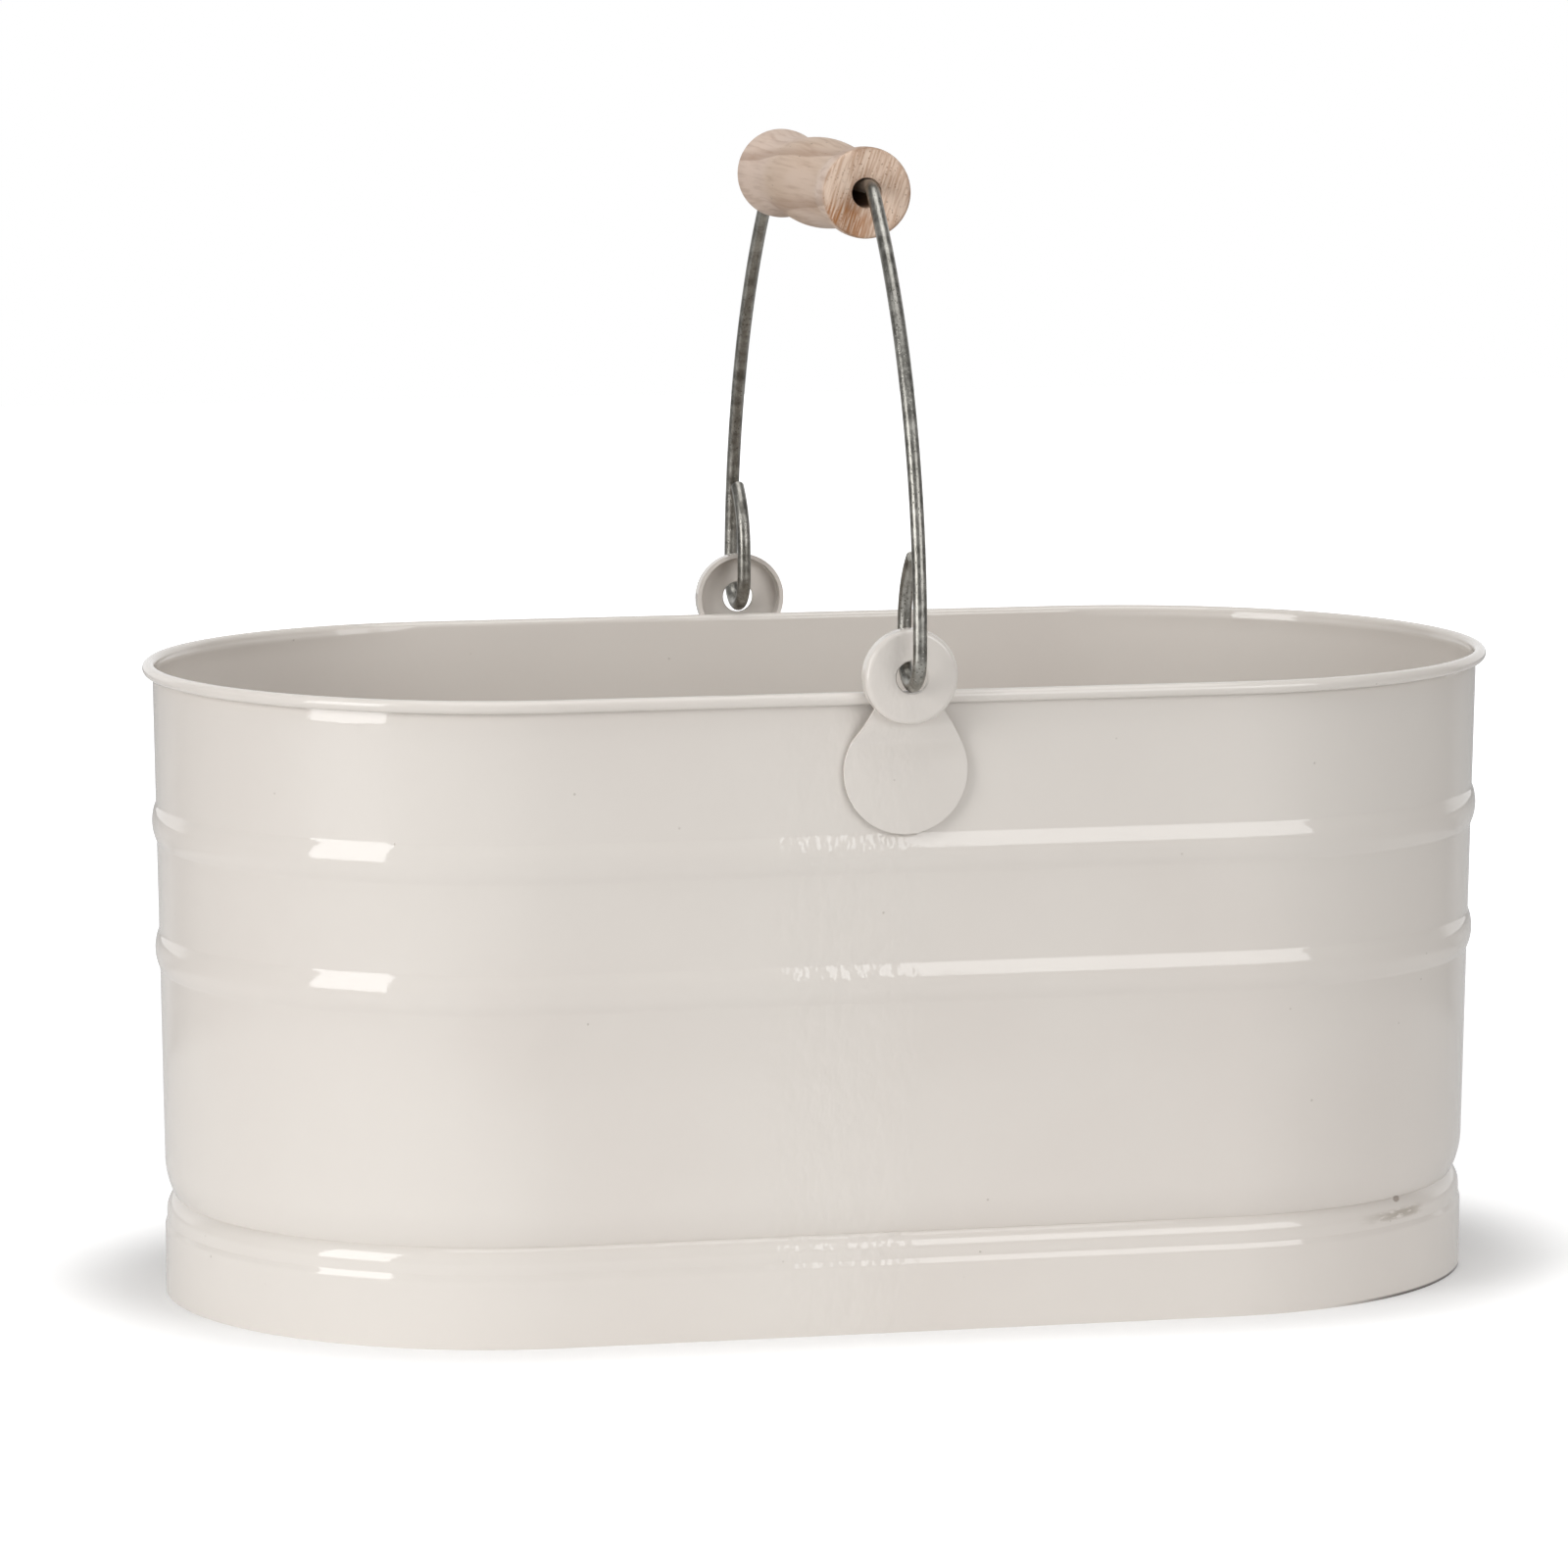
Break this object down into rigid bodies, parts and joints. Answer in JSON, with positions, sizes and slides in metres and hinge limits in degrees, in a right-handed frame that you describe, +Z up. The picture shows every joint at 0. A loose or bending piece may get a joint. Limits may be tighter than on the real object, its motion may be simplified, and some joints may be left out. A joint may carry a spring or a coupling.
{
  "type": "utility bucket",
  "caption": "Oval painted steel utility bucket with rolled rim, swaged beads, side ears, galvanised wire bail and turned wooden grip.",
  "frame": {"origin": "on the floor at the middle of the tub's foot", "axes": "+Z up; +X along the tub's length; +Y across it, from the front ear to the back ear"},
  "size_m": [0.4, 0.2328, 0.3352],
  "materials": {
    "enamel": "gloss",
    "galvanised_wire": "satin",
    "bare_wood": "matte"
  },
  "bodies": {
    "tub": {"tub_wall": "enamel", "floor_pan": "enamel", "rim_wire": "galvanised_wire", "ear_front": "enamel", "ear_back": "enamel"},
    "bail": {"bail_wire": "galvanised_wire"},
    "grip": {"wooden_grip": "bare_wood"}
  },
  "joints": [
    {"name": "bail_swing", "type": "hinge", "parent": "tub", "child": "bail", "pos_m": [0, 0, 0.1871], "axis": [0, 1, 0], "range_deg": [-90, 90]},
    {"name": "grip_spin", "type": "hinge", "parent": "bail", "child": "grip", "pos_m": [0, 0, 0.32205], "axis": [0, 1, 0], "continuous": true}
  ]
}
